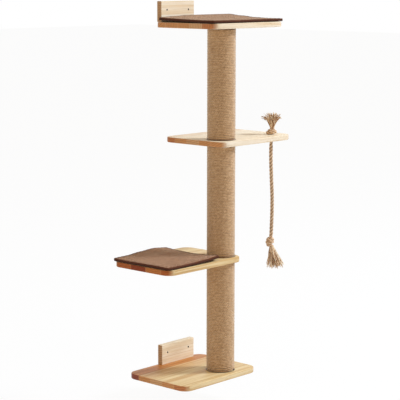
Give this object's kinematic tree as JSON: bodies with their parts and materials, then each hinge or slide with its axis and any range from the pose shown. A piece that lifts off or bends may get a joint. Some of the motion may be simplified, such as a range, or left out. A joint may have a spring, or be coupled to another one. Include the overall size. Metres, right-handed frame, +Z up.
{
  "type": "wall mounted cat tree",
  "caption": "Wall mounted cat tree: staggered solid wood shelves on sisal-wound posts, with wall plates, lift-off scratch mats and a hanging knotted rope toy.",
  "frame": {"origin": "on the wall plane, midway between the two screw holes of the upper wall plate", "axes": "+Z up, +Y into the wall, +X along the wall, to the right for a viewer who faces it"},
  "size_m": [0.674, 0.3, 1.396],
  "materials": {
    "pine_board": "clear satin lacquer on edge-glued staves",
    "pine_plate": "clear satin lacquer",
    "plug_wood": "raw turned softwood",
    "card_tube": "raw spiral-wound card",
    "steel": "zinc plated",
    "sisal_winding": "twisted sisal rope",
    "mat_binding": "woven binding tape",
    "mat_felt": "speckled felt pile",
    "hook_tape": "self-adhesive hook tape",
    "toy_rope": "three-strand sisal rope",
    "toy_strands": "frayed sisal strands"
  },
  "bodies": {
    "root": {"bottom_board": "pine_board", "lower_board": "pine_board", "upper_board": "pine_board", "top_board": "pine_board", "bottom_wall_plate": "pine_plate", "top_wall_plate": "pine_plate", "plate_screws": "steel", "joining_studs": "steel", "end_bolts": "steel", "bottom_post_core": "card_tube", "middle_post_core": "card_tube", "top_post_core": "card_tube", "bottom_sisal_wrap": "sisal_winding", "middle_sisal_wrap": "sisal_winding", "top_sisal_wrap": "sisal_winding", "sisal_end_turns": "sisal_winding", "post_plugs": "plug_wood", "mat_hook_patches": "hook_tape"},
    "lower_mat": {"lower_mat_binding": "mat_binding", "lower_mat_pad": "mat_felt"},
    "top_mat": {"top_mat_binding": "mat_binding", "top_mat_pad": "mat_felt"},
    "toy_top": {"toy_neck": "toy_rope", "toy_top_knot": "toy_rope", "toy_top_tuft": "toy_strands"},
    "toy_hang": {"toy_rope": "toy_rope", "toy_bottom_knot": "toy_rope", "toy_bottom_tassel": "toy_strands"}
  },
  "joints": [
    {"name": "toy_turn", "type": "hinge", "parent": "root", "child": "toy_top", "pos_m": [0.285, -0.24, -0.472], "axis": [0, 0, 1], "range_deg": [-45, 45]},
    {"name": "toy_swing", "type": "hinge", "parent": "toy_top", "child": "toy_hang", "pos_m": [0.285, -0.24, -0.5], "axis": [-0.7071, -0.7071, 0], "range_deg": [-20, 60]},
    {"name": "lower_mat_lift", "type": "slide", "parent": "root", "child": "lower_mat", "axis": [0, 0, 1], "range_m": [0, 0.15]},
    {"name": "top_mat_lift", "type": "slide", "parent": "root", "child": "top_mat", "axis": [0, 0, 1], "range_m": [0, 0.15]}
  ]
}
